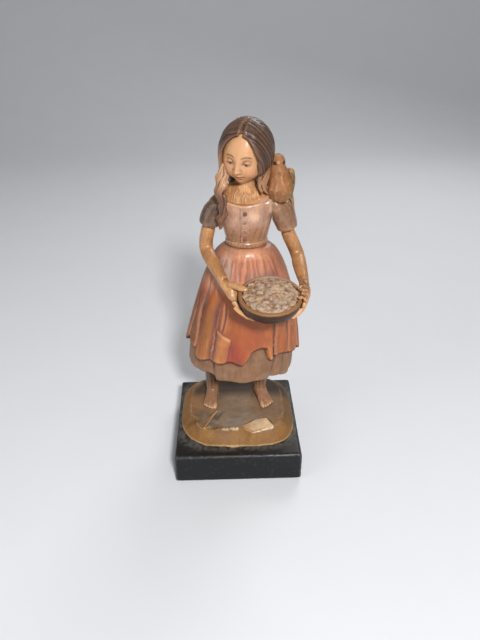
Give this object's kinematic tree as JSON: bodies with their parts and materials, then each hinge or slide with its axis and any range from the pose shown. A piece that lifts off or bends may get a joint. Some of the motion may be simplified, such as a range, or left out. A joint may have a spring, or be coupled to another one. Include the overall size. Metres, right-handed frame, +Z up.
{
  "type": "carved wooden figurine",
  "caption": "Carved and stained wooden statuette of a barefoot girl in a ragged skirt who holds a bowl of grain, with a bird on her shoulder, on a square black plinth.",
  "frame": {"origin": "middle of the plinth's flat underside", "axes": "+Z up, -Y to the figure's front, +X to the figure's left"},
  "size_m": [0.031, 0.0308, 0.0807],
  "materials": {
    "black_stained_wood": "black stain, satin wax, worn edges",
    "ochre_wood": "thin ochre stain, waxed, dusty in the hollows",
    "skin_wood": "warm flesh stain over pale wood, waxed",
    "taupe_wood": "taupe stain, waxed",
    "orange_wood": "orange and red stain, waxed, worn light on the ridges",
    "bodice_wood": "rose-grey stain, waxed",
    "bowl_wood": "brown stain, waxed",
    "grain_wood": "pale tan stain, dusty",
    "hair_wood": "brown stain, waxed",
    "bird_wood": "tan stain, waxed",
    "bare_wood": "unfinished limewood",
    "button_paint": "dark red paint",
    "steel_wire": "plain drawn wire"
  },
  "bodies": {
    "root": {"plinth": "black_stained_wood", "ground": "ochre_wood", "leg_pins": "steel_wire", "right_foot": "skin_wood", "left_foot": "skin_wood", "petticoat": "taupe_wood", "overskirt": "orange_wood", "waistband": "bodice_wood", "waist_dowel": "bare_wood", "bodice": "bodice_wood", "buttons": "button_paint", "shoulder_dowels": "bare_wood", "right_sleeve": "bodice_wood", "left_sleeve": "bodice_wood", "right_arm": "skin_wood", "left_arm": "skin_wood", "bowl": "bowl_wood", "grain": "grain_wood", "head": "skin_wood", "neck_dowel": "bare_wood", "hair": "hair_wood", "hair_lock": "hair_wood", "bird": "bird_wood", "bird_peg": "bare_wood"}
  },
  "joints": []
}
